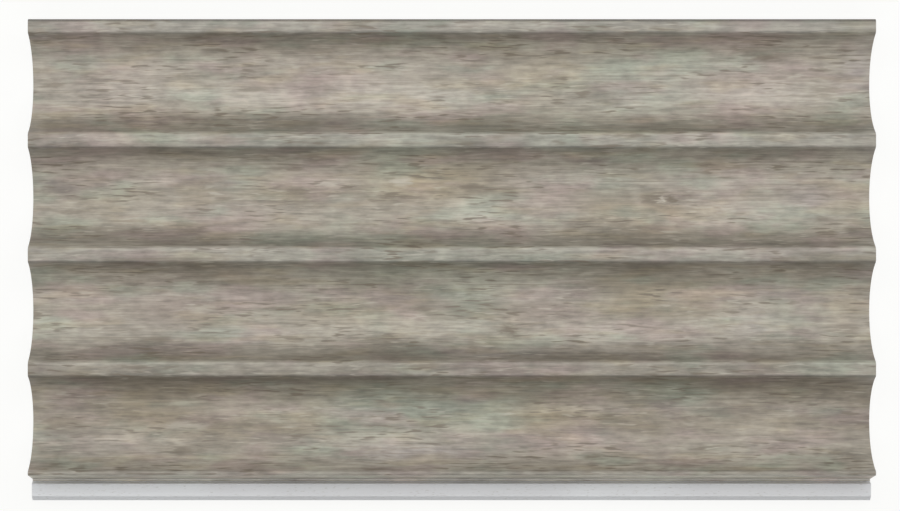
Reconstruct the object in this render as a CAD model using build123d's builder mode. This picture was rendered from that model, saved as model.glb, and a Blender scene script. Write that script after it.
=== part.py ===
"""Fluted wall panel: one extruded length of wood-plastic composite.

The panel lies on its back. X runs along the extrusion, Y across the flutes and +Z out of
the show face. The origin is the middle of the back, at the bottom of the panel's box.
Concave flutes lie side by side between narrow ribs. The joint tongue stands out on the -Y
side. The +Y side has the groove that laps over the tongue of the next panel.
"""

import os
from math import hypot

from build123d import *

# Stock length and flutes, in millimetres
panel_length = 280.0
flute_count = 4
flute_pitch = 37.8
flute_depth = 10.5
rib_face = 4.5
rib_edge_radius = 1.2

# Walls of the hollow section
floor_thickness = 3.0
skin_wall = 2.2
back_wall = 2.2
chamber_corner_radius = 0.5

# Joint: lip beside the closing flute, leaning wall, root groove and tongue
lip_face = 1.2
lip_edge_radius = 0.7
joint_wall_lean = 2.2
root_width = 0.9
tongue_foot = 4.2
tongue_rise = 1.5
tongue_flank = 0.5
tongue_face = 4.2
nose_length = 1.5
tongue_edge_radius = 0.35
joint_clearance = 0.25

# Sizes that follow from the ones above
panel_thickness = floor_thickness + flute_depth
cover_width = flute_count * flute_pitch
tongue_top = tongue_foot + tongue_rise
tongue_reach = joint_wall_lean + root_width + tongue_flank + tongue_face + nose_length
lean_slope = joint_wall_lean / (panel_thickness - tongue_foot)
lean_stretch = hypot(1, lean_slope)
joint_gap = joint_clearance * lean_stretch
edge_round = rib_edge_radius * (lean_slope + lean_stretch - 1)
overall_width = tongue_reach + cover_width - joint_gap - edge_round
edge_y = overall_width / 2
joint_y = tongue_reach - edge_y

section_plane = Plane.YZ


def arc_radius(chord):
    """Radius of the circle that spans a flute of this chord at the flute's depth."""
    return (chord**2 / 4 + flute_depth**2) / (2 * flute_depth)


def flute_circles():
    """Centre and radius of each flute's circle, from the joint side to the edge rib."""
    circles = []
    for index in range(flute_count):
        low = edge_y - (flute_count - index) * flute_pitch
        high = low + flute_pitch - rib_face
        if index == 0:
            low = joint_y + lip_face
        radius = arc_radius(high - low)
        circles.append(((low + high) / 2, floor_thickness + radius, radius))
    return circles


def joint_section(shift, growth):
    """Lip, leaning wall, root groove and tongue as one face, moved along Y and grown."""
    wall_top = joint_y + shift
    wall_foot = wall_top - joint_wall_lean
    flank_foot = wall_foot - root_width
    face_start = flank_foot - tongue_flank
    face_end = face_start - tongue_face
    tip = face_end - nose_length
    with BuildSketch(section_plane) as joint:
        with BuildLine():
            Polyline(
                (wall_top + lip_face, 0),
                (wall_top + lip_face, panel_thickness),
                (wall_top, panel_thickness),
                (wall_foot, tongue_foot),
                (flank_foot, tongue_foot),
                (face_start, tongue_top),
                (face_end, tongue_top),
                (tip, tongue_foot),
                (tip, 0),
                close=True,
            )
        make_face()
        heights = joint.vertices().group_by(Axis.Y)
        fillet(heights[1] + heights[2], radius=tongue_edge_radius)
        if growth:
            offset(amount=growth, kind=Kind.INTERSECTION)
    return joint.sketch


with BuildPart() as wall_panel:
    # Solid body with its flutes, and the tongue that runs out of it
    with BuildSketch(section_plane):
        with Locations((joint_y + cover_width / 2, panel_thickness / 2)):
            Rectangle(cover_width, panel_thickness)
        for centre_y, centre_z, radius in flute_circles():
            with Locations((centre_y, centre_z)):
                Circle(radius, mode=Mode.SUBTRACT)
    extrude(amount=panel_length / 2, both=True)
    extrude(joint_section(0, 0), amount=panel_length / 2, both=True)

    # Room under the edge rib for the next panel's tongue
    next_tongue = joint_section(cover_width, joint_clearance)
    extrude(next_tongue, amount=panel_length / 2, both=True, mode=Mode.SUBTRACT)

    # Hollow chambers under the ribs and behind the joint lip
    with BuildSketch(section_plane) as chambers:
        wall_inset = skin_wall * lean_stretch
        low_y = joint_y - lean_slope * (panel_thickness - back_wall) + wall_inset
        high_y = joint_y - lean_slope * skin_wall + wall_inset
        far_y = edge_y - (flute_pitch + rib_face) / 2
        with BuildLine():
            Polyline(
                (low_y, back_wall),
                (high_y, panel_thickness - skin_wall),
                (far_y, panel_thickness - skin_wall),
                (far_y, back_wall),
                close=True,
            )
        make_face()
        for centre_y, centre_z, radius in flute_circles():
            with Locations((centre_y, centre_z)):
                Circle(radius + skin_wall, mode=Mode.SUBTRACT)
        fillet(chambers.vertices(), radius=chamber_corner_radius)
    extrude(amount=panel_length / 2, both=True, mode=Mode.SUBTRACT)

    # Rounded long edges of the ribs, and then those of the narrower lip
    top_edges = wall_panel.edges().filter_by(Axis.X).group_by(Axis.Z)[-1]
    fillet(top_edges.sort_by(Axis.Y)[2:], radius=rib_edge_radius)
    top_edges = wall_panel.edges().filter_by(Axis.X).group_by(Axis.Z)[-1]
    fillet(top_edges.sort_by(Axis.Y)[:2], radius=lip_edge_radius)

wall_panel.part.label = "wall_panel"

os.makedirs("parts", exist_ok=True)
export_step(wall_panel.part, "parts/wall_panel.step")
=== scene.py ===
"""Looks of a fluted wall panel that lies on its back, with its show face up.

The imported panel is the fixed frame: X runs along the extrusion, Y across the flutes, and
Z out of the show face, in metres. This file gives the bare composite its finish, lays the
printed film over the show face as a thin shell that follows the section, and sets up the
floor, the lamps and the camera.
"""

from collections import namedtuple
from math import atan, atan2, cos, hypot, pi, radians, sin, sqrt

import bpy
import numpy as np
from bpy.props import FloatProperty, FloatVectorProperty, IntProperty, PointerProperty
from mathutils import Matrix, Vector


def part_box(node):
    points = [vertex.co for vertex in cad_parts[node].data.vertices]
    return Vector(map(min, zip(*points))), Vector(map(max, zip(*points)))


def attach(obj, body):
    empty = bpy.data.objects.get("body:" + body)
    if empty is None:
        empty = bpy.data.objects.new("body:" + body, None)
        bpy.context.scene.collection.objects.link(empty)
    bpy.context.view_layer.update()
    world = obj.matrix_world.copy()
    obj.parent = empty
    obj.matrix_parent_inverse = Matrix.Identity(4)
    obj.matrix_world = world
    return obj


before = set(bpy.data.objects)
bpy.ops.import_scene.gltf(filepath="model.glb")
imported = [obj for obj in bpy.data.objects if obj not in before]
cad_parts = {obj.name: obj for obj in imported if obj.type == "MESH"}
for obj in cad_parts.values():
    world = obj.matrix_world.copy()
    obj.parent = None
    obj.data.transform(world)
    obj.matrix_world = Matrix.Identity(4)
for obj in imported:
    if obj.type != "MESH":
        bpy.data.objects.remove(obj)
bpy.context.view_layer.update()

bl_info = {
    "name": "Fluted wall panel",
    "version": (1, 0, 0),
    "blender": (4, 5, 0),
    "location": "3D View > Sidebar > Wall panel",
    "description": "Dresses a fluted composite wall panel in bare composite and printed film",
    "category": "Object",
}

MM = 0.001
PANEL_NODE = "wall_panel"
BODY = "root"

panel_low, panel_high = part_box(PANEL_NODE)

# Grid steps on the straight stretches of the section, and more of them round the outer edge
ROOT_STEPS = 2
WALL_STEPS = 6
RIB_STEPS = 3
OUTER_EDGE_EXTRA_STEPS = 2

# Part of a flute's run, from each side, over which the film rises to its lift in flutes
FLUTE_RAMP = 0.035

# Normals that differ more than this leave a sharp edge in the film's shading
SHARP_ANGLE = radians(50)

# Share of the cooler ground tone on ribs and their edges, and on the walls
RIB_COOL = 0.6
WALL_COOL = 1

# Tilts of the film's normal between which the painted shade and painted light set in, or fade
# again
NEAR_SHADE_TILT = (radians(27), radians(52))
FAR_SHADE_TILT = (radians(42), radians(60))
HIGHLIGHT_RISE_TILT = (radians(8), radians(20))
HIGHLIGHT_FALL_TILT = (radians(28), radians(40))
EDGE_SHADING_TILT = (0, radians(30))

# Tilt from which the joint wall's painted light sets in on the lip's outer edge
LIP_LIGHT_TILT = radians(45)

# White of the background and of the floor's glow, and the floor's own colour
WHITE = (0.99, 0.99, 0.975, 1)
FLOOR_WHITE = (0.96, 0.96, 0.95, 1)

# Length in millimetres of a tone band that runs past both ends of the panel
LONG = 700


def shade(red, green, blue):
    """Linear colour of a paint-chart reading from 0 to 255, by the standard screen curve."""
    reading = np.array([red, green, blue]) / 255
    bright = ((reading + 0.055) / 1.055) ** 2.4
    return tuple(float(v) for v in np.where(reading > 0.04045, bright, reading / 12.92))


# Tone patches of the print: tone, place along, place across, length, width in millimetres,
# and how strongly the tone shows in the middle.
PRINT_PATCHES = (
    ("green", 8, 41, 170, 13, 0.40),
    ("ground_cool", -30, 46.5, 76, 8, 0.60),
    ("pink", -115, 40, 26, 14, 0.70),
    ("green", -6, -4, 96, 24, 0.45),
    ("lilac", 70, -28, 60, 7, 0.45),
    ("lilac", -113, -60, 34, 14, 0.65),
    ("tan", -68, -56, 36, 12, 0.40),
    ("brown", -134, 54, 12, 16, 0.45),
    ("pink", -112, 60, 30, 24, 0.40),
    ("tan", -100, 44, 30, 12, 0.30),
    ("pink", -40, 59, 46, 18, 0.55),
    ("pale", -2, 54, 22, 8, 0.60),
    ("tan", 30, 60, 26, 12, 0.45),
    ("green", 64, 58, 36, 20, 0.75),
    ("pale", 58, 52, 18, 6, 0.60),
    ("pink", 98, 60, 36, 20, 0.65),
    ("brown", 104, 69, 14, 3, 0.75),
    ("pale", 102, 53, 16, 5, 0.45),
    ("lilac", 136, 62, 10, 18, 0.55),
    ("tan", -118, 22, 30, 12, 0.25),
    ("pink", -75, 14, 34, 12, 0.55),
    ("green", -40, 8, 44, 5, 0.60),
    ("tan", -54, 24, 24, 9, 0.45),
    ("pink", -42, 26, 18, 8, 0.40),
    ("tan", -8, 26, 40, 12, 0.70),
    ("brown", -15, 21, 12, 2, 0.75),
    ("pale", 9, 15, 22, 8, 0.80),
    ("pink", 31, 20, 26, 16, 0.50),
    ("green", 52, 27, 20, 8, 0.60),
    ("tan", 52, 17, 18, 8, 0.40),
    ("brown", 70, 21, 9, 4, 0.45),
    ("ochre", 68, 14, 17, 9, 0.80),
    ("pink", 88, 24, 24, 16, 0.45),
    ("lilac", 122, 20, 20, 10, 0.45),
    ("tan", 132, 22, 14, 10, 0.30),
    ("brown", -124, -17, 16, 8, 0.35),
    ("pink", -92, -14, 40, 16, 0.50),
    ("ochre", -76, -5, 18, 4, 0.35),
    ("lilac", -72, -26, 30, 6, 0.60),
    ("tan", -30, -16, 40, 14, 0.35),
    ("green", 7, -14, 18, 16, 0.75),
    ("pink", 30, -17, 26, 14, 0.45),
    ("ochre", 20, -24, 9, 8, 0.80),
    ("lilac", 14, -30, 34, 4, 0.70),
    ("pale", 51, -24, 14, 7, 0.65),
    ("tan", 64, -13, 26, 12, 0.60),
    ("tan", 84, -12, 16, 10, 0.50),
    ("brown", 101, -8, 6, 10, 0.40),
    ("lilac", 103, -22, 16, 12, 0.60),
    ("green", 116, -19, 20, 14, 0.60),
    ("ochre", 130, -22, 12, 9, 0.30),
    ("pale", 0, 55, LONG, 11, 0.30),
    ("brown", 0, 46, LONG, 8, 0.35),
    ("pale", 0, 40, LONG, 5, 0.15),
    ("brown", 0, 18, LONG, 5, 0.25),
    ("brown", 0, -17, LONG, 44, 0.27),
    ("pale", 0, -26, LONG, 9, 0.45),
    ("brown", 0, -53, LONG, 42, 0.84),
    ("pale", 0, -65, LONG, 10, 0.35),
    ("brown", -134, -56, 12, 12, 0.50),
    ("tan", -100, -52, 36, 14, 0.30),
    ("ochre", -46, -52, 12, 10, 0.60),
    ("green", -22, -50, 50, 18, 0.80),
    ("lilac", -12, -64, 50, 6, 0.55),
    ("green", 14, -50, 28, 14, 0.50),
    ("tan", 31, -52, 26, 9, 0.50),
    ("pink", 40, -60, 30, 10, 0.55),
    ("brown", 60, -40, 14, 3, 0.60),
    ("green", 74, -45, 26, 8, 0.50),
    ("pale", 108, -63, 16, 4, 0.40),
)

# Knots, checks and worn spots of the print, in the same terms, with edges that fray.
PRINT_MARKS = (
    ("umber", 105, 67.5, 9, 2.6, 0.75),
    ("umber", 17, 53, 9, 1.6, 0.75),
    ("umber", 59, 41.5, 13, 1.9, 0.80),
    ("umber", 123, 64, 9, 1.3, 0.65),
    ("brown", 125, 57, 13, 3.4, 0.55),
    ("umber", -133, 59, 8, 1.7, 0.60),
    ("brown", -67, 57.5, 15, 2.2, 0.60),
    ("brown", 31, 61, 15, 4.0, 0.45),
    ("cream", -17, 26.5, 8, 3.6, 0.75),
    ("cream", -42, 26, 10, 2.2, 0.50),
    ("umber", -17, 21.5, 15, 1.6, 0.92),
    ("umber", 6, 25, 9, 2.2, 0.80),
    ("umber", 66.5, 20.5, 7, 3.6, 0.70),
    ("umber", 74, 20.5, 3.6, 4.2, 0.95),
    ("cream", 70.4, 20.5, 3.2, 3.0, 0.60),
    ("brown", 70, 12, 10, 2.4, 0.40),
    ("brown", 56, 12.5, 9, 3.0, 0.60),
    ("umber", 125, 14, 10, 2.2, 0.60),
    ("umber", -126, 16.5, 13, 1.5, 0.60),
    ("umber", -95, 0.5, 60, 1.2, 0.30),
    ("cream", -84, -16, 11, 3.4, 0.45),
    ("umber", -57, -16, 14, 1.3, 0.60),
    ("umber", -10, -16, 11, 1.5, 0.55),
    ("umber", 19.5, -23, 5.2, 4.2, 0.80),
    ("umber", -131, -23, 7, 1.7, 0.70),
    ("brown", -98, -26, 10, 2.2, 0.70),
    ("brown", 133, -23, 10, 5.0, 0.60),
    ("umber", -106, -35, 15, 1.5, 0.60),
    ("brown", -9, -34.6, 13, 2.2, 0.70),
    ("brown", -131, -55, 11, 7.0, 0.60),
    ("cream", -89, -55, 17, 3.0, 0.45),
    ("umber", -91, -63, 17, 3.0, 0.60),
    ("umber", 48, -65, 10, 2.0, 0.60),
)

# Distances from a mark's middle, in half sizes, at which it sets in and is full
MARK_EDGE = (1.3, 0.2)

# Noise drawn out along the extrusion: length and width of a feature in millimetres, shift
# and detail of the noise, the levels between which the feature sets in, the share that it
# reaches there, and the noise's roughness.
Grain = namedtuple(
    "Grain", "length width shift detail low high share roughness", defaults=(0, 1, 1, 0.5)
)

# Bare wood and lime wash that break through the print
WORN_LAYERS = (
    ("brown", Grain(36, 10, (12, 3, 5), 5, 0.50, 0.66, 0.76, 0.60)),
    ("pale", Grain(38, 10.5, (1, 9, 4), 5, 0.40, 0.62, 0.58, 0.60)),
)

# Faint casts that drift along the grain
CAST_LAYERS = (
    ("green", Grain(30, 10, (3, 1, 0), 3, 0.50, 0.68, 0.50)),
    ("pink", Grain(28, 9.5, (7, 4, 2), 3, 0.48, 0.68, 0.60)),
    ("tan", Grain(24, 5, (5, 6, 8), 3, 0.50, 0.68, 0.26)),
)

# Long thin lines, light dashes and dark dashes, each with the noise that clusters them
LINE = Grain(42, 0.85, (9, 6, 4), 2, 0.56, 0.68, 0.50)
LINE_CLUSTER = Grain(80, 12, (3, 7, 2), 1, 0.44, 0.62)
LIGHT_DASH = Grain(7, 0.9, (6, 1, 3), 1, 0.57, 0.70, 0.42)
LIGHT_CLUSTER = Grain(26, 9, (4, 4, 8), 1, 0.42, 0.62)
DARK_DASH = Grain(8, 1, (8, 8, 1), 1, 0.55, 0.66, 0.80)
DARK_CLUSTER = Grain(30, 8, (9, 3, 5), 1, 0.44, 0.62)
DASH_LAYERS = (
    ("brown", LINE, LINE_CLUSTER),
    ("cream", LIGHT_DASH, LIGHT_CLUSTER),
    ("umber", DARK_DASH, DARK_CLUSTER),
)

# Waves of the grain, noise that changes the print's brightness, its pores and frayed marks
WAVE = Grain(110, 22, (0, 0, 0), 1)
STREAK = Grain(90, 1.6, (2, 5, 1), 3, 0.3, 0.7)
MOTTLE = Grain(5.5, 3, (3, 8, 7), 3)
STROKE = Grain(8.5, 1.1, (8, 5, 2), 2, 0.40, 0.60)
FIBRE = Grain(16, 0.5, (5, 2, 6), 3, roughness=0.6)
PRINT_PORE = Grain(6, 0.26, (2, 2, 9), 1, 0.60, 0.74, 0.40)
MARK_FRAY = Grain(4, 1, (0, 0, 0), 2)

# How far the waves move the grain sideways, and how strongly the others change brightness
WAVE_SWING = 0.6 * MM
STREAK_SWING = 0.46
MOTTLE_SWING = 0.75
STROKE_SWING = 0.15
FIBRE_SWING = 0.46

# How far the fray spreads a mark's edge: along, across and out of the face
FRAY_REACH = np.array([10, 1.6, 0]) * MM

# Brightness of the print before they change it, and the part that full painted shade takes away
PRINT_LEVEL = 0.90
PAINTED_SHADE_DEPTH = 0.27

# How strongly the patch tone tints bare wood and wash
PATCH_SHOW = 0.60

# Emboss and gloss of the print, which is duller where a streak is dark
FIBRE_RISE = 0.6
EMBOSS_DEPTH = 0.03 * MM
PRINT_ROUGHNESS = (0.50, 0.42)
PRINT_SPECULAR = 0.5

# Drifts, wood flour and die lines of the bare composite
DRIFT = Grain(55, 30, (1, 2, 0), 2, 0.40, 0.62)
FLECK = Grain(1.6, 0.35, (3, 5, 1), 2, 0.60, 0.74, 0.45)
DIE_LINE = Grain(200, 0.45, (0, 3, 3), 2)
DIE_LINE_SWING = 0.10
DIE_LINE_RISE = 0.5

# A face turns from extruded to sawn while its normal's part along X goes between these
SAWN_NORMAL = (0.5, 0.8)

# Arcs of the saw on the cut ends, as rings about an axis along X far below the panel
SAW_AXIS = (0, -50 * MM, -110 * MM)
SAW_RINGS = {"Scale": 260.0, "Distortion": 1.5, "Detail": 1.0, "Detail Scale": 0.6}
ARC_SHARE = 0.22

# Pores on the cut ends: length and width of their cells in millimetres, the distances
# from a cell's middle at which a pore sets in and is full, and its share there of the
# darker pore tone, which is painted shade in the pits
SAWN_PORE_SIZE = (1000, 1)
SAWN_PORE_EDGE = (0.30, 0.14)
SAWN_PORE_SHADE_SHARE = 0.70

# Emboss and gloss of the composite, extruded and then sawn
COMPOSITE_DEPTH = 0.04 * MM
COMPOSITE_ROUGHNESS = (0.55, 0.75)
COMPOSITE_SPECULAR = 0.4


def length(name, description, default):
    """Length property with its default in millimetres."""
    return FloatProperty(name=name, description=description, default=default * MM, unit="LENGTH")


def amount(name, description, default):
    """Plain number property."""
    return FloatProperty(name=name, description=description, default=default)


def angle(name, description, default):
    """Angle property with its default in degrees."""
    return FloatProperty(
        name=name, description=description, default=radians(default), subtype="ANGLE"
    )


def count(name, description, default, least):
    """Whole number property."""
    return IntProperty(name=name, description=description, default=default, min=least)


def tone(name, description, red, green, blue):
    """Colour property with its default as a paint-chart reading."""
    default = shade(red, green, blue)
    return FloatVectorProperty(
        name=name, description=description, subtype="COLOR", min=0, max=1, default=default
    )


class PanelSizes(bpy.types.PropertyGroup):
    """Sizes of the section that the printed film follows, and of the film itself."""

    flute_count: count("Flutes", "Concave flutes side by side", 4, 1)
    flute_pitch: length("Flute pitch", "From one rib to the next", 37.8)
    flute_depth: length("Flute depth", "From the rib tops to the flute's floor", 10.5)
    rib_face: length("Rib face", "Width of a rib before its edges are rounded", 4.5)
    rib_edge_radius: length("Rib edge radius", "Rounding of the ribs' long edges", 1.2)
    lip_face: length("Lip face", "Width of the lip beside the joint", 1.2)
    lip_edge_radius: length("Lip edge radius", "Rounding of the lip's long edges", 0.7)
    joint_wall_lean: length(
        "Joint wall lean", "How far the joint wall runs out on its way down", 2.2
    )
    tongue_foot: length("Tongue foot", "Height of the joint wall's foot", 4.2)
    tongue_reach: length("Tongue reach", "From the joint wall's top to the tongue's tip", 9.3)
    root_width: length("Root width", "Level strip between joint wall and tongue", 0.9)
    film_wrap: length("Film wrap", "How far the film runs down the outer wall", 6.0)
    film_corner_radius: length(
        "Film corner", "Rounding of the film at the joint wall's foot", 0.25
    )
    film_lift: length("Film lift", "How far the film stands proud of ribs and walls", 0.02)
    film_flute_lift: length(
        "Film lift in flutes", "How far the film stands proud in the flutes", 0.09
    )
    film_key: length("Film key", "How far the film's back sinks into the composite", 0.05)
    film_end_inset: length(
        "Film end inset", "How far the film stops short of the cut ends", 0.03
    )
    steps_along: count("Steps along", "Grid steps along the extrusion", 96, 8)
    steps_flute: count("Steps across a flute", "Grid steps across one flute", 40, 8)
    steps_round: count("Steps round an edge", "Grid steps round one rounded edge", 6, 3)


class PaintedShadeAndLight(bpy.types.PropertyGroup):
    """Painted shade and painted light on the print, where 1 is full painted shade and painted
    light is a lack of it.
    """

    # Painted shade: darkening on the flutes' steep sides, the lip, the rib tops, the ribs'
    # joint-facing edges, and the outer edge and wall
    far_side_painted_shade: amount("Far side painted shade", "On a flute's side that faces the joint", 0.65)
    near_side_painted_shade: amount(
        "Near side painted shade", "On a flute's side that faces away from the joint", 0.85
    )
    lip_painted_shade: amount("Lip painted shade", "On the lip and its edge beside the flute", 0.3)
    rib_painted_shade: amount("Rib painted shade", "On the joint-facing half of the rib tops", 0.35)
    edge_painted_shade: amount("Edge painted shade", "On the ribs' joint-facing edges", 1.1)
    outer_painted_shade: amount("Outer painted shade", "On the rounded outer edge and the outer wall", 1.8)
    # Painted light, set as a lack of painted shade: in the flute beside the lip, along the flutes'
    # near sides, on the edges that face away from the joint, on the joint wall and on the strip at
    # its foot
    lip_side_painted_light: amount("Lip side painted light", "In the flute beside the lip", 0.30)
    flute_painted_highlight: amount("Flute painted highlight", "Gathered along a flute's near side", 0.22)
    edge_painted_light: amount("Edge painted light", "On the ribs' edges that face away from the joint", 0.5)
    wall_painted_light: amount("Wall painted light", "On the joint wall", 2.9)
    root_painted_light: amount("Root painted light", "On the strip at the joint wall's foot", 2.2)


class PrintTones(bpy.types.PropertyGroup):
    """Colours of the weathered wood print."""

    ground: tone("Ground", "Main beige grey of the print", 154, 147, 134)
    ground_cool: tone("Cool ground", "Cooler grey of ribs and side walls", 151, 149, 140)
    green: tone("Green grey", "Patches with a green cast", 149, 157, 141)
    pink: tone("Taupe", "Patches with a pink cast", 171, 153, 147)
    tan: tone("Tan", "Warm sandy patches", 165, 150, 117)
    ochre: tone("Ochre", "Small warm patches beside knots", 166, 143, 118)
    pale: tone("Wash", "Chalky lime wash", 183, 178, 166)
    lilac: tone("Lilac grey", "Patches with a violet cast", 159, 148, 150)
    brown: tone("Brown", "Bare weathered wood and knots", 126, 117, 103)
    cream: tone("Light dash", "Short light dashes", 190, 184, 170)
    umber: tone("Dark dash", "Short dark dashes and pores", 108, 98, 84)


class CompositeTones(bpy.types.PropertyGroup):
    """Colours of the bare composite."""

    body: tone("Body", "Light grey of the composite", 220, 222, 224)
    drift: tone("Drift", "Slightly darker grey that drifts along the extrusion", 213, 214, 216)
    fleck: tone("Fleck", "Wood flour that shows as darker flecks", 168, 164, 156)
    # Darker tone inside the sawn pores: painted shade in the pits
    pore: tone("Pore", "Inside of the small pores on sawn ends", 128, 127, 124)


class StudioSettings(bpy.types.PropertyGroup):
    """Lamps, floor and camera."""

    upper_share: amount("Upper lamp share", "Part of the light from the rib side", 0.69)
    lower_share: amount("Lower lamp share", "Part of the light from the tongue side", 0.29)
    ambient: amount("Ambient", "Light from all round", 0.016)
    upper_angle: angle("Upper lamp angle", "From straight up", 27)
    lower_angle: angle("Lower lamp angle", "From straight up", -32)
    upper_distance: length("Upper lamp distance", "From the panel", 620)
    lower_distance: length("Lower lamp distance", "From the panel", 1600)
    lamp_length: length("Lamp length", "Of both lamps, along the panel", 1800)
    upper_width: length("Upper lamp width", "Across the flutes", 500)
    lower_width: length("Lower lamp width", "Across the flutes", 350)
    floor_width: length("Floor width", "Side of the square floor", 6000)
    floor_gap: length("Floor gap", "Floor under the panel's back", 0.1)
    floor_shade: amount("Floor shade", "Share of the panel's shadow that the floor shows", 0.10)
    shade_near: length("Shade near", "Where the floor's shadow starts to fade", 350)
    shade_far: length("Shade far", "Where the floor is plain white", 1000)
    camera_height: length("Camera height", "Above the rib tops", 700)
    camera_along: length("Camera along", "From the panel's middle", -14.5)
    camera_across: length("Camera across", "From the panel's middle", 1.85)
    view_along: length(
        "View along", "Middle of the picture, from the panel's middle", -0.63
    )
    view_width: length("View width", "Picture width in the plane of the rib tops", 297)


# Section of the show face

def round_stretch(centre, radius, tilt_from, tilt_to, steps):
    """Part of a circle as rows of y, z and tilt of the normal, which is (sin, cos) of it.

    A point lies at the centre plus the radius times the normal. A hollow curve has a
    negative radius, because its normal points at its centre.
    """
    tilt = np.linspace(tilt_from, tilt_to, steps + 1)
    y = centre[0] + radius * np.sin(tilt)
    z = centre[1] + radius * np.cos(tilt)
    return np.stack([y, z, tilt], axis=1)


def straight_stretch(start, end, tilt, steps):
    """Straight run as rows of y, z and one constant tilt of the normal.

    A point lies at (1 - share) times the start plus the share times the end.
    """
    share = np.linspace(0, 1, steps + 1)[:, None]
    points = np.array(start) * (1 - share) + np.array(end) * share
    return np.column_stack([points, np.full(steps + 1, tilt)])


def soft_step(value, low, high):
    """Smooth step from 0 to 1: 3 r^2 - 2 r^3, with r how far the value is from low to high."""
    rise = np.clip((value - low) / (high - low), 0, 1)
    return rise * rise * (3 - 2 * rise)


def edge_share(round_rows):
    """Share that grows from 0 on the level part of a rounded edge to 1 on its steep part."""
    return soft_step(np.abs(round_rows[:, 2]), *EDGE_SHADING_TILT)


def flute_circle(sizes, index):
    """Middle, centre height and radius of a flute's circle.

    A circle over a chord c with a rise d has the radius (c^2 / 4 + d^2) / 2d. It runs
    through both rib edges and touches the flute's floor.
    """
    low = panel_high.y - (sizes.flute_count - index) * sizes.flute_pitch
    high = low + sizes.flute_pitch - sizes.rib_face
    if index == 0:
        low = panel_low.y + sizes.tongue_reach + sizes.lip_face
    chord = high - low
    radius = (chord**2 / 4 + sizes.flute_depth**2) / (2 * sizes.flute_depth)
    return (low + high) / 2, panel_high.z - sizes.flute_depth + radius, radius


def edge_meeting(centre_z, radius, edge_r):
    """How far a rounded edge's centre is from its flute's middle, and the tilt where they meet.

    The edge's circle touches the top plane and, from outside, the flute's circle, so the
    two centres lie the sum of both radii apart.
    """
    rise = centre_z - (panel_high.z - edge_r)
    reach = sqrt((radius + edge_r) ** 2 - rise**2)
    return reach, atan2(reach, rise)


def wall_lean(sizes):
    """How far the joint wall runs out for each metre down, and the tilt of its normal.

    The normal points along (-1, slope), which is at right angles to the wall.
    """
    slope = sizes.joint_wall_lean / (panel_high.z - panel_low.z - sizes.tongue_foot)
    return slope, atan2(-1, slope)


def dressed(stretch_rows, cool, painted_shading, in_flute=False):
    """Rows of a stretch with the flute share, the cool share and the painted shading added.

    The flute share is a smooth step over the ramp at both ends of a flute, and 0 outside.
    The cool share falls to 0 where it rises to 1.
    """
    size = len(stretch_rows)
    share = np.zeros(size)
    if in_flute:
        place = np.linspace(0, 1, size)
        share = soft_step(np.minimum(place, 1 - place), 0, FLUTE_RAMP)
    cool_share = cool * (1 - share)
    return np.column_stack([stretch_rows, share, cool_share, np.broadcast_to(painted_shading, size)])


def joint_stretches(sizes, shade_and_light):
    """Root strip, joint wall and the lip's rounded outer edge.

    A circle of radius r that touches the leaning wall and a level face has its centre
    r (sqrt(1 + slope^2) - slope) beside their corner, and r above or below the face.
    The film ends one corner radius short of the tongue.
    """
    top = panel_high.z
    joint_y = panel_low.y + sizes.tongue_reach
    slope, wall_tilt = wall_lean(sizes)
    beside = hypot(1, slope) - slope

    foot = (joint_y - sizes.joint_wall_lean, panel_low.z + sizes.tongue_foot)
    corner_r = sizes.film_corner_radius
    corner = (foot[0] - corner_r * beside, foot[1] + corner_r)
    corner_round = round_stretch(corner, -corner_r, 0, wall_tilt, sizes.steps_round)
    edge_r = sizes.lip_edge_radius
    lip_centre = (joint_y + edge_r * beside, top - edge_r)
    lip_round = round_stretch(lip_centre, edge_r, wall_tilt, 0, sizes.steps_round)
    root_end = (foot[0] - sizes.root_width + corner_r, foot[1])
    root = straight_stretch(root_end, corner_round[0, :2], 0, ROOT_STEPS)
    wall = straight_stretch(corner_round[-1, :2], lip_round[0, :2], wall_tilt, WALL_STEPS)

    # Painted light on the root strip, its corner, the joint wall and the lip's outer edge, where
    # it grows as the edge turns down into the wall
    lip_painted_light = shade_and_light.wall_painted_light * soft_step(-lip_round[:, 2], LIP_LIGHT_TILT, -wall_tilt)
    return [
        dressed(root, WALL_COOL, -shade_and_light.root_painted_light),
        dressed(corner_round, WALL_COOL, -shade_and_light.root_painted_light),
        dressed(wall, WALL_COOL, -shade_and_light.wall_painted_light),
        dressed(lip_round, WALL_COOL, -lip_painted_light),
    ]


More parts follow.
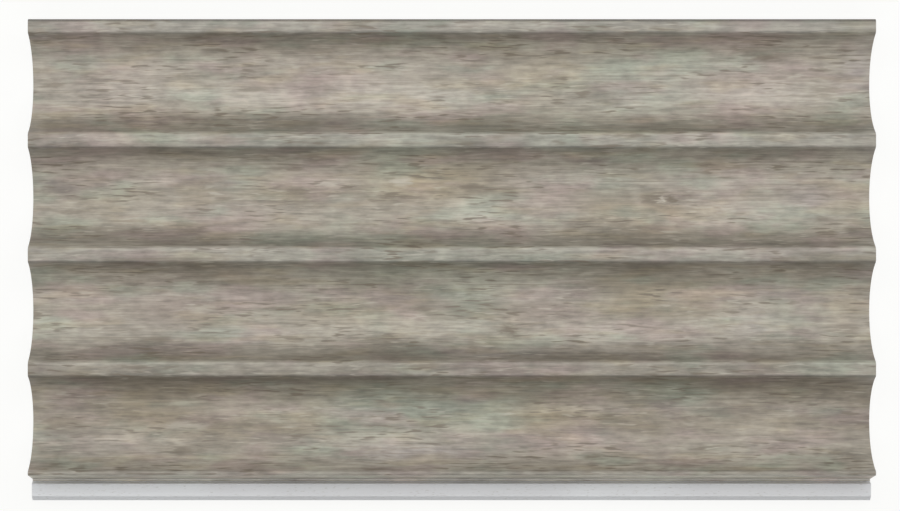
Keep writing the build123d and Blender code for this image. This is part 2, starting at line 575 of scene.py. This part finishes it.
def flute_stretches(sizes, shade_and_light, index, start_y):
    """Lip or rib top, rounded edge, flute, and the rounded edge of the next rib.

    Painted shade grows with the tilt of a flute's sides and of the joint-facing edges. It lies
    evenly on the lip and thins out to nothing across a rib top. A painted highlight lies along
    a flute's near side, and painted light lies on the edges that face away from the joint.
    """
    if index == 0:
        low_edge_r = sizes.lip_edge_radius
        near_painted_shading = -shade_and_light.lip_side_painted_light
        top_painted_shade = (shade_and_light.lip_painted_shade, shade_and_light.lip_painted_shade)
        edge_painted_light = 0
    else:
        low_edge_r = sizes.rib_edge_radius
        near_painted_shading = shade_and_light.near_side_painted_shade
        top_painted_shade = (shade_and_light.rib_painted_shade, 0)
        edge_painted_light = shade_and_light.edge_painted_light

    top = panel_high.z
    high_edge_r = sizes.rib_edge_radius
    centre_y, centre_z, radius = flute_circle(sizes, index)
    low_reach, low_turn = edge_meeting(centre_z, radius, low_edge_r)
    high_reach, high_turn = edge_meeting(centre_z, radius, high_edge_r)
    low_centre = (centre_y - low_reach, top - low_edge_r)
    level = straight_stretch((start_y, top), (low_centre[0], top), 0, RIB_STEPS)
    low_round = round_stretch(low_centre, low_edge_r, 0, low_turn, sizes.steps_round)
    centre = (centre_y, centre_z)
    hollow = round_stretch(centre, -radius, low_turn, -high_turn, sizes.steps_flute)
    high_centre = (centre_y + high_reach, top - high_edge_r)
    high_round = round_stretch(high_centre, high_edge_r, -high_turn, 0, sizes.steps_round)

    tilt = hollow[:, 2]
    # Painted shade on the flute's steep sides and on the next rib's edge, and a painted highlight
    # along the flute's near side
    near = near_painted_shading * soft_step(tilt, *NEAR_SHADE_TILT)
    far = shade_and_light.far_side_painted_shade * soft_step(-tilt, *FAR_SHADE_TILT)
    highlight_band = soft_step(tilt, *HIGHLIGHT_RISE_TILT) * (1 - soft_step(tilt, *HIGHLIGHT_FALL_TILT))
    high_painted_shade = np.maximum(shade_and_light.edge_painted_shade * edge_share(high_round), shade_and_light.rib_painted_shade)
    return [
        dressed(level, RIB_COOL, np.linspace(*top_painted_shade, RIB_STEPS + 1)),
        dressed(low_round, RIB_COOL, top_painted_shade[1] - edge_painted_light * edge_share(low_round)),
        dressed(hollow, RIB_COOL, near + far - shade_and_light.flute_painted_highlight * highlight_band, in_flute=True),
        dressed(high_round, RIB_COOL, high_painted_shade),
    ]


def outer_stretches(sizes, shade_and_light, start_y):
    """Top of the edge rib, its rounded edge, and the outer wall, parallel to the joint wall."""
    top = panel_high.z
    edge_r = sizes.rib_edge_radius
    slope, wall_tilt = wall_lean(sizes)
    outer_tilt = pi + wall_tilt
    down = np.array([-slope, -1]) / hypot(1, slope)

    edge_centre = (panel_high.y - edge_r, top - edge_r)
    level = straight_stretch((start_y, top), (edge_centre[0], top), 0, RIB_STEPS)
    outer_steps = sizes.steps_round + OUTER_EDGE_EXTRA_STEPS
    outer_round = round_stretch(edge_centre, edge_r, 0, outer_tilt, outer_steps)
    wall_top = outer_round[-1, :2]
    wall_end = wall_top + down * sizes.film_wrap
    outer = straight_stretch(wall_top, wall_end, outer_tilt, WALL_STEPS)
    # Painted shade thins out across the edge rib's top and lies on its rounded outer edge and on
    # the outer wall
    return [
        dressed(level, RIB_COOL, np.linspace(shade_and_light.rib_painted_shade, 0, RIB_STEPS + 1)),
        dressed(outer_round, RIB_COOL, shade_and_light.outer_painted_shade * edge_share(outer_round)),
        dressed(outer, WALL_COOL, shade_and_light.outer_painted_shade),
    ]


def show_face_section(sizes, shade_and_light):
    """Rows of y, z, tilt, flute share, cool share and painted shading, from joint wall to outer
    wall.

    Straight walls and rib tops are joined by arcs that touch them, so the normal turns
    without a jump. The flute share is 0 on ribs and walls and 1 inside a flute. The cool
    share says how much of the cooler ground tone shows. The painted shading is painted shade
    above 0 and painted light below 0.
    """
    stretches = joint_stretches(sizes, shade_and_light)
    for index in range(sizes.flute_count):
        stretches += flute_stretches(sizes, shade_and_light, index, stretches[-1][-1, 0])
    stretches += outer_stretches(sizes, shade_and_light, stretches[-1][-1, 0])
    return np.vstack([stretches[0]] + [rows[1:] for rows in stretches[1:]])


# Printed film

def film_loop(sizes, section):
    """Closed loop round the film, as rows of y, z, girth, cool share and painted shading.

    The outer skin is the section moved out along its normal by the lift, and the back is
    the section moved in by the key: a point is (y + d sin tilt, z + d cos tilt). The loop
    runs over the skin and returns along the back. The girth is the way along the skin.
    """
    y, z, tilt, share, cool, painted_shading = section.T
    lift = sizes.film_lift + (sizes.film_flute_lift - sizes.film_lift) * share
    skin = np.column_stack([y + lift * np.sin(tilt), z + lift * np.cos(tilt)])
    key = sizes.film_key
    back = np.column_stack([y - key * np.sin(tilt), z - key * np.cos(tilt)])
    girth = np.concatenate([[0], np.cumsum(np.hypot(*np.diff(skin, axis=0).T))])
    skin_rows = np.column_stack([skin, girth, cool, painted_shading])
    back_rows = np.column_stack([back, girth, cool, painted_shading])
    return np.vstack([skin_rows, back_rows[::-1]])


def shell_faces(rings, ring_size):
    """Faces between the rings of a closed shell, and over its two ends.

    Point k of ring j has the number j times the ring size plus k. The second half of a
    ring returns along the first, so an end is closed by quads between the two halves.
    """
    ring = np.arange(rings - 1)[:, None] * ring_size
    here = np.arange(ring_size)[None, :]
    beside = (here + 1) % ring_size
    corners = [ring + here, ring + ring_size + here, ring + ring_size + beside, ring + beside]
    sides = np.stack(corners, axis=-1).reshape(-1, 4)
    rim = np.arange(ring_size // 2 - 1)
    first_end = np.stack([rim, rim + 1, ring_size - 2 - rim, ring_size - 1 - rim], axis=-1)
    last_end = first_end[:, ::-1] + (rings - 1) * ring_size
    return np.vstack([sides, first_end, last_end])


def patch_colours(tones, along, across, cool_share, painted_shading):
    """Tone of the print at each point: the ground colour, with every patch laid over it.

    A patch fades out from its middle as exp(-(dx^2 + dy^2)), with dx and dy in half lengths
    and half widths, and each covers what lies under it by that share. The fourth number is the
    painted shading: painted shade above 0 and painted light below it.
    """
    share = cool_share[:, None]
    colour = np.array(tones.ground) * (1 - share) + np.array(tones.ground_cool) * share
    for name, place_along, place_across, length_mm, width_mm, strength in PRINT_PATCHES:
        dx = (along / MM - place_along) / (length_mm / 2)
        dy = (across / MM - place_across) / (width_mm / 2)
        cover = (strength * np.exp(-(dx**2 + dy**2)))[:, None]
        colour = colour * (1 - cover) + np.array(getattr(tones, name)) * cover
    return np.column_stack([colour, painted_shading])


def film_mesh(sizes, shade_and_light, tones):
    """Closed shell of the film: its loop, carried straight along the extrusion.

    A vertex is (x, y, z), with y and z from the loop and x in even steps between the ends.
    Its UV map counts metres along and across, and its attribute holds tone and painted shading.
    """
    loop = film_loop(sizes, show_face_section(sizes, shade_and_light))
    first = panel_low.x + sizes.film_end_inset
    last = panel_high.x - sizes.film_end_inset
    rings = np.linspace(first, last, sizes.steps_along + 1)
    x = np.repeat(rings, len(loop))
    y, z, girth, cool, painted_shading = np.tile(loop, (len(rings), 1)).T
    points = np.column_stack([x, y, z])
    faces = shell_faces(len(rings), len(loop))
    mesh = bpy.data.meshes.new("printed_film")
    mesh.from_pydata(points.tolist(), [], faces.tolist())

    run = np.column_stack([x, girth])
    layer = mesh.uv_layers.new(name="grain_run")
    layer.data.foreach_set("uv", run[faces.ravel()].astype(np.float32).ravel())
    colours = patch_colours(tones, x, y, cool, painted_shading)
    attribute = mesh.attributes.new("print_tone", "FLOAT_COLOR", "POINT")
    attribute.data.foreach_set("color", colours.astype(np.float32).ravel())
    mesh.shade_smooth()
    mesh.set_sharp_from_angle(angle=SHARP_ANGLE)
    mesh.validate()
    return mesh


# Nodes

class Finish:
    """Nodes of a material or world: each method adds some and gives back what they put out."""

    def __init__(self, owner):
        owner.use_nodes = True
        self.owner = owner
        self.tree = owner.node_tree
        self.tree.nodes.clear()

    def node(self, kind, inputs=None, **values):
        """Adds a node, sets its own values, and links or sets the inputs named here."""
        made = self.tree.nodes.new(kind)
        for key, value in values.items():
            setattr(made, key, value)
        for key, value in (inputs or {}).items():
            if isinstance(value, bpy.types.NodeSocket):
                self.tree.links.new(value, made.inputs[key])
            else:
                made.inputs[key].default_value = value
        return made

    def calc(self, operation, first, second):
        """One step of arithmetic."""
        return self.node("ShaderNodeMath", {0: first, 1: second}, operation=operation).outputs[0]

    def swing(self, noise, strength):
        """Noise as a swing about zero: (noise - 0.5) times the strength."""
        return self.calc("MULTIPLY", self.calc("SUBTRACT", noise, 0.5), strength)

    def fade(self, value, low, high, start, end):
        """Smooth step from start to end while the value goes from low to high."""
        inputs = {0: value, 1: low, 2: high, 3: start, 4: end}
        made = self.node("ShaderNodeMapRange", inputs, interpolation_type="SMOOTHSTEP")
        return made.outputs[0]

    def blend(self, share, under, over, way="MIX"):
        """Lays one colour over another, through the colour sockets 6, 7 and 2 of the node."""
        inputs = {0: share, 6: under, 7: over}
        made = self.node("ShaderNodeMix", inputs, data_type="RGBA", blend_type=way)
        return made.outputs[2]

    def brighten(self, colour, factor):
        """Multiplies a colour by a number."""
        inputs = {0: colour, "Scale": factor}
        return self.node("ShaderNodeVectorMath", inputs, operation="SCALE").outputs[0]

    def split(self, vector):
        """The three numbers of a vector."""
        return self.node("ShaderNodeSeparateXYZ", {0: vector}).outputs

    def distance(self, vector):
        """Length of a vector."""
        made = self.node("ShaderNodeVectorMath", {0: vector}, operation="LENGTH")
        return made.outputs["Value"]

    def place(self):
        """Place on the object, in metres."""
        return self.node("ShaderNodeTexCoord").outputs["Object"]

    def mapped(self, vector, shift, scale=(1, 1, 1)):
        """Coordinates times the scale, plus the shift."""
        inputs = {"Vector": vector, "Location": shift, "Scale": scale}
        return self.node("ShaderNodeMapping", inputs, vector_type="POINT").outputs[0]

    def stretched(self, vector, along, across, shift=(0, 0, 0)):
        """Coordinates in which a feature of this size in millimetres is one unit big."""
        scale = (1 / (along * MM), 1 / (across * MM), 1 / (across * MM))
        return self.mapped(vector, shift, scale)

    def noise(self, vector, grain):
        """Noise node of a grain."""
        inputs = {
            "Vector": self.stretched(vector, grain.length, grain.width, grain.shift),
            "Scale": 1.0,
            "Detail": grain.detail,
            "Roughness": grain.roughness,
        }
        return self.node("ShaderNodeTexNoise", inputs)

    def level(self, vector, grain):
        """Value of a grain's noise, which swings about 0.5."""
        return self.noise(vector, grain).outputs["Fac"]

    def showing(self, vector, grain):
        """Share with which a grain shows, once its noise is past its levels."""
        return self.fade(self.level(vector, grain), grain.low, grain.high, 0, grain.share)

    def background_rays(self):
        """1 for a ray that shows the background: from the camera, off gloss, through glass."""
        path = self.node("ShaderNodeLightPath").outputs
        seen = self.calc("MAXIMUM", path["Is Camera Ray"], path["Is Glossy Ray"])
        return self.calc("MAXIMUM", seen, path["Is Transmission Ray"])

    def surface(self, colour, roughness, height, depth, specular):
        """Ends a material in a plain dielectric with a bump of this depth in metres."""
        inputs = {"Strength": 1.0, "Distance": depth, "Height": height}
        bump = self.node("ShaderNodeBump", inputs)
        inputs = {
            "Base Color": colour,
            "Roughness": roughness,
            "Specular IOR Level": specular,
            "Normal": bump.outputs[0],
        }
        shader = self.node("ShaderNodeBsdfPrincipled", inputs)
        self.node("ShaderNodeOutputMaterial", {"Surface": shader.outputs[0]})
        return self.owner


def opaque(colour):
    """Colour with a full alpha."""
    return tuple(colour) + (1,)


def wavy_run(finish, run):
    """The film's own coordinates, with the place across moved by gentle waves."""
    along, across, _ = finish.split(run)
    swayed = finish.calc("ADD", across, finish.swing(finish.level(run, WAVE), WAVE_SWING))
    return finish.node("ShaderNodeCombineXYZ", {0: along, 1: swayed}).outputs[0]


def frayed_place(finish):
    """Place on the object, moved by up to half the fray's reach to either side."""
    place = finish.place()
    noise = finish.noise(place, MARK_FRAY).outputs["Color"]
    inputs = {0: noise, 1: FRAY_REACH, 2: -FRAY_REACH / 2}
    push = finish.node("ShaderNodeVectorMath", inputs, operation="MULTIPLY_ADD").outputs[0]
    return finish.node("ShaderNodeVectorMath", {0: place, 1: push}, operation="ADD").outputs[0]


def print_finish(tones):
    """Limed and weathered oak print on embossed film.

    The grain runs along the extrusion on the film's own UV map, and the patch tone and the
    painted shade and light come from its attribute. Bare wood and wash break through the patch
    tone, which tints them, and faint casts drift over all. Then come brightness and the painted
    shade and light, the listed marks, lines and dashes, and pores.
    """
    finish = Finish(bpy.data.materials.new("weathered print"))
    run = finish.node("ShaderNodeUVMap", uv_map="grain_run").outputs[0]
    wavy = wavy_run(finish, run)
    patch = finish.node("ShaderNodeAttribute", attribute_name="print_tone").outputs
    colour = patch["Color"]

    def layer(under, tone_name, share, way="MIX"):
        """Lays one of the print's tones over a colour."""
        return finish.blend(share, under, opaque(getattr(tones, tone_name)), way)

    # Bare wood and wash, tinted by the patch tone, then casts
    for tone_name, grain in WORN_LAYERS:
        colour = layer(colour, tone_name, finish.showing(wavy, grain))
    colour = finish.blend(PATCH_SHOW, colour, patch["Color"], "COLOR")
    for tone_name, grain in CAST_LAYERS:
        colour = layer(colour, tone_name, finish.showing(wavy, grain), "COLOR")

    # Brightness, from long streaks to fibres, times the painted shading: painted shade takes some
    # away and painted light adds some
    streak = finish.level(wavy, STREAK)
    fibre = finish.level(wavy, FIBRE)
    changes = (
        finish.swing(streak, STREAK_SWING),
        finish.swing(finish.level(wavy, MOTTLE), MOTTLE_SWING),
        finish.swing(finish.showing(wavy, STROKE), STROKE_SWING),
        finish.swing(fibre, FIBRE_SWING),
    )
    bright = PRINT_LEVEL
    for change in changes:
        bright = finish.calc("ADD", bright, change)
    painted_shading_factor = finish.calc("SUBTRACT", 1.0, finish.calc("MULTIPLY", patch["Alpha"], PAINTED_SHADE_DEPTH))
    colour = finish.brighten(colour, finish.calc("MULTIPLY", bright, painted_shading_factor))

    # Listed marks: a mark's share depends on the distance from its middle, in half sizes
    frayed = frayed_place(finish)
    for tone_name, place_along, place_across, length_mm, width_mm, strength in PRINT_MARKS:
        shift = (-2 * place_along / length_mm, -2 * place_across / width_mm, 0)
        scale = (2 / (length_mm * MM), 2 / (width_mm * MM), 0)
        away = finish.distance(finish.mapped(frayed, shift, scale))
        colour = layer(colour, tone_name, finish.fade(away, *MARK_EDGE, 0, strength))

    # Lines and dashes in loose clusters, then pores
    for tone_name, dash, cluster in DASH_LAYERS:
        inside = finish.showing(run, cluster)
        share = finish.calc("MULTIPLY", finish.showing(wavy, dash), inside)
        colour = layer(colour, tone_name, share)
    pore = finish.showing(wavy, PRINT_PORE)
    colour = layer(colour, "umber", pore)

    # Emboss: pores pressed in, fibres slightly raised
    height = finish.calc("SUBTRACT", finish.calc("MULTIPLY", fibre, FIBRE_RISE), pore)
    rough = finish.fade(streak, STREAK.low, STREAK.high, *PRINT_ROUGHNESS)
    return finish.surface(colour, rough, height, EMBOSS_DEPTH, PRINT_SPECULAR)


def composite_finish(tones):
    """Bare extruded composite, with sawn faces where the normal points along the extrusion.

    Drifts, flecks of wood flour and die lines run along X. The sawn ends have the arcs of
    a round blade and small pores.
    """
    finish = Finish(bpy.data.materials.new("grey composite"))
    place = finish.place()
    normal = finish.node("ShaderNodeNewGeometry").outputs["Normal"]
    facing_end = finish.node("ShaderNodeMath", {0: finish.split(normal)[0]}, operation="ABSOLUTE")
    sawn = finish.fade(facing_end.outputs[0], *SAWN_NORMAL, 0, 1)

    colour = finish.blend(finish.showing(place, DRIFT), opaque(tones.body), opaque(tones.drift))
    colour = finish.blend(finish.showing(place, FLECK), colour, opaque(tones.fleck))
    line = finish.level(place, DIE_LINE)
    bright = finish.calc("ADD", finish.swing(line, DIE_LINE_SWING), 1.0)
    colour = finish.brighten(colour, bright)

    # Pores, darkened with painted shade in the pits, and saw arcs on the cut ends
    pore_place = finish.stretched(place, *SAWN_PORE_SIZE)
    cells = finish.node("ShaderNodeTexVoronoi", {"Vector": pore_place, "Scale": 1.0}, feature="F1")
    pore = finish.fade(cells.outputs["Distance"], *SAWN_PORE_EDGE, 0, 1)
    pore = finish.calc("MULTIPLY", pore, sawn)
    from_axis = finish.mapped(place, tuple(-value for value in SAW_AXIS))
    inputs = {"Vector": from_axis, **SAW_RINGS}
    rings = finish.node("ShaderNodeTexWave", inputs, wave_type="RINGS", rings_direction="X")
    arcs = finish.calc("MULTIPLY", rings.outputs["Fac"], sawn)
    pore_shade_share = finish.calc("MULTIPLY", pore, SAWN_PORE_SHADE_SHARE)
    colour = finish.blend(pore_shade_share, colour, opaque(tones.pore))
    arc_share = finish.calc("MULTIPLY", arcs, ARC_SHARE)
    colour = finish.blend(arc_share, colour, opaque(tones.fleck))

    # Emboss: die lines and arcs raised, pores pressed in
    raised = finish.calc("ADD", finish.calc("MULTIPLY", line, DIE_LINE_RISE), arcs)
    height = finish.calc("SUBTRACT", raised, pore)
    rough = finish.fade(sawn, 0, 1, *COMPOSITE_ROUGHNESS)
    return finish.surface(colour, rough, height, COMPOSITE_DEPTH, COMPOSITE_SPECULAR)


def floor_finish(studio):
    """White floor that shows a share of the panel's shadow, and is plain white further out."""
    finish = Finish(bpy.data.materials.new("studio floor"))
    matt = finish.node("ShaderNodeBsdfDiffuse", {"Color": FLOOR_WHITE})
    glow = finish.node("ShaderNodeEmission", {"Color": WHITE, "Strength": 1.0})
    away = finish.distance(finish.place())
    near_white = 1 - studio.floor_shade
    white = finish.fade(away, studio.shade_near, studio.shade_far, near_white, 1)
    share = finish.calc("MULTIPLY", finish.background_rays(), white)
    inputs = {0: share, 1: matt.outputs[0], 2: glow.outputs[0]}
    mix = finish.node("ShaderNodeMixShader", inputs)
    finish.node("ShaderNodeOutputMaterial", {"Surface": mix.outputs[0]})
    return finish.owner


def studio_world(studio):
    """Ambient light for the object, and white behind it."""
    finish = Finish(bpy.data.worlds.new("studio"))
    strength = finish.fade(finish.background_rays(), 0, 1, studio.ambient, 1)
    sky = finish.node("ShaderNodeBackground", {"Color": WHITE, "Strength": strength})
    finish.node("ShaderNodeOutputWorld", {"Surface": sky.outputs[0]})
    return finish.owner


# Stage

def put_in_scene(name, data):
    """New object at the origin that shows this mesh, lamp or camera."""
    made = bpy.data.objects.new(name, data)
    bpy.context.scene.collection.objects.link(made)
    return made


def studio_floor(studio):
    """Level square under the panel: corners half a width from the middle, in X and Y."""
    half = studio.floor_width / 2
    z = panel_low.z - studio.floor_gap
    corners = [(-half, -half, z), (half, -half, z), (half, half, z), (-half, half, z)]
    mesh = bpy.data.meshes.new("studio_floor")
    mesh.from_pydata(corners, [], [(0, 1, 2, 3)])
    mesh.materials.append(floor_finish(studio))
    return put_in_scene("studio_floor", mesh)


def lamp(name, share, tilt, distance, lamp_length, width):
    """Area lamp that gives an upright face this share of full light.

    A strip of half length a at distance d lights the panel as a point would, times
    (t / (1 + t^2) + atan t) / 2t with t = a / d, so the power is divided by that.
    """
    t = lamp_length / 2 / distance
    strip = (t / (1 + t**2) + atan(t)) / (2 * t)
    data = bpy.data.lights.new(name, "AREA")
    data.shape = "RECTANGLE"
    data.size = lamp_length
    data.size_y = width
    data.energy = share * pi**2 * distance**2 / (cos(tilt) * strip)
    data.use_shadow = True
    made = put_in_scene(name, data)
    made.location = (0, distance * sin(tilt), distance * cos(tilt))
    made.rotation_euler = (-tilt, 0, 0)
    made.visible_camera = False


def studio_lamps(studio):
    """One lamp on the rib side and one, further off, on the tongue side."""
    lamp(
        "upper_lamp",
        studio.upper_share,
        studio.upper_angle,
        studio.upper_distance,
        studio.lamp_length,
        studio.upper_width,
    )
    lamp(
        "lower_lamp",
        studio.lower_share,
        studio.lower_angle,
        studio.lower_distance,
        studio.lamp_length,
        studio.lower_width,
    )


def studio_camera(studio):
    """Camera that looks straight down, with its picture shifted along the panel.

    The lens is the sensor's width times the camera's height over the view's width, and
    the shift is the way from the camera to the picture's middle over the view's width.
    """
    data = bpy.data.cameras.new("camera")
    data.lens = data.sensor_width * studio.camera_height / studio.view_width
    data.shift_x = (studio.view_along - studio.camera_along) / studio.view_width
    made = put_in_scene("camera", data)
    height = panel_high.z + studio.camera_height
    made.location = (studio.camera_along, studio.camera_across, height)
    return made


class PANEL_OT_bare_composite(bpy.types.Operator):
    """Give the extruded body its bare composite finish"""

    bl_idname = "panel.bare_composite"
    bl_label = "Bare composite"

    def execute(self, context):
        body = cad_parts[PANEL_NODE]
        body.data.materials.clear()
        body.data.materials.append(composite_finish(context.scene.composite_tones))
        return {"FINISHED"}


class PANEL_OT_printed_film(bpy.types.Operator):
    """Lay the printed film over ribs, flutes and both long edges"""

    bl_idname = "panel.printed_film"
    bl_label = "Printed film"

    def execute(self, context):
        scene = context.scene
        mesh = film_mesh(scene.panel_sizes, scene.print_wear, scene.print_tones)
        mesh.materials.append(print_finish(scene.print_tones))
        film = put_in_scene("printed_film", mesh)
        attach(film, BODY)
        return {"FINISHED"}


class PANEL_OT_studio(bpy.types.Operator):
    """Set up the floor, the lamps, the world and the camera"""

    bl_idname = "panel.studio"
    bl_label = "Studio"

    def execute(self, context):
        scene = context.scene
        studio = scene.studio_settings
        scene.view_settings.view_transform = "Standard"
        floor = studio_floor(studio)
        scene.world = studio_world(studio)
        studio_lamps(studio)
        scene.camera = studio_camera(studio)
        return {"FINISHED"}


class PANEL_PT_wall_panel(bpy.types.Panel):
    """Sidebar panel with the steps that dress the wall panel"""

    bl_idname = "PANEL_PT_wall_panel"
    bl_label = "Wall panel"
    bl_space_type = "VIEW_3D"
    bl_region_type = "UI"
    bl_category = "Wall panel"

    def draw(self, context):
        for operator in OPERATORS:
            self.layout.operator(operator.bl_idname)
        for group_name, group in GROUPS:
            box = self.layout.box()
            for name in group.__annotations__:
                box.prop(getattr(context.scene, group_name), name)


GROUPS = (
    ("panel_sizes", PanelSizes),
    ("print_wear", PaintedShadeAndLight),
    ("print_tones", PrintTones),
    ("composite_tones", CompositeTones),
    ("studio_settings", StudioSettings),
)
OPERATORS = (PANEL_OT_bare_composite, PANEL_OT_printed_film, PANEL_OT_studio)


def register():
    """Registers the classes and hangs the property groups on the scene."""
    for name, group in GROUPS:
        bpy.utils.register_class(group)
        setattr(bpy.types.Scene, name, PointerProperty(type=group))
    for operator in OPERATORS:
        bpy.utils.register_class(operator)
    bpy.utils.register_class(PANEL_PT_wall_panel)


def unregister():
    """Takes out what register put in."""
    bpy.utils.unregister_class(PANEL_PT_wall_panel)
    for operator in reversed(OPERATORS):
        bpy.utils.unregister_class(operator)
    for name, group in reversed(GROUPS):
        delattr(bpy.types.Scene, name)
        bpy.utils.unregister_class(group)


def main():
    """Dresses the panel."""
    register()
    bpy.ops.panel.bare_composite()
    bpy.ops.panel.printed_film()
    bpy.ops.panel.studio()


if __name__ == "__main__":
    main()
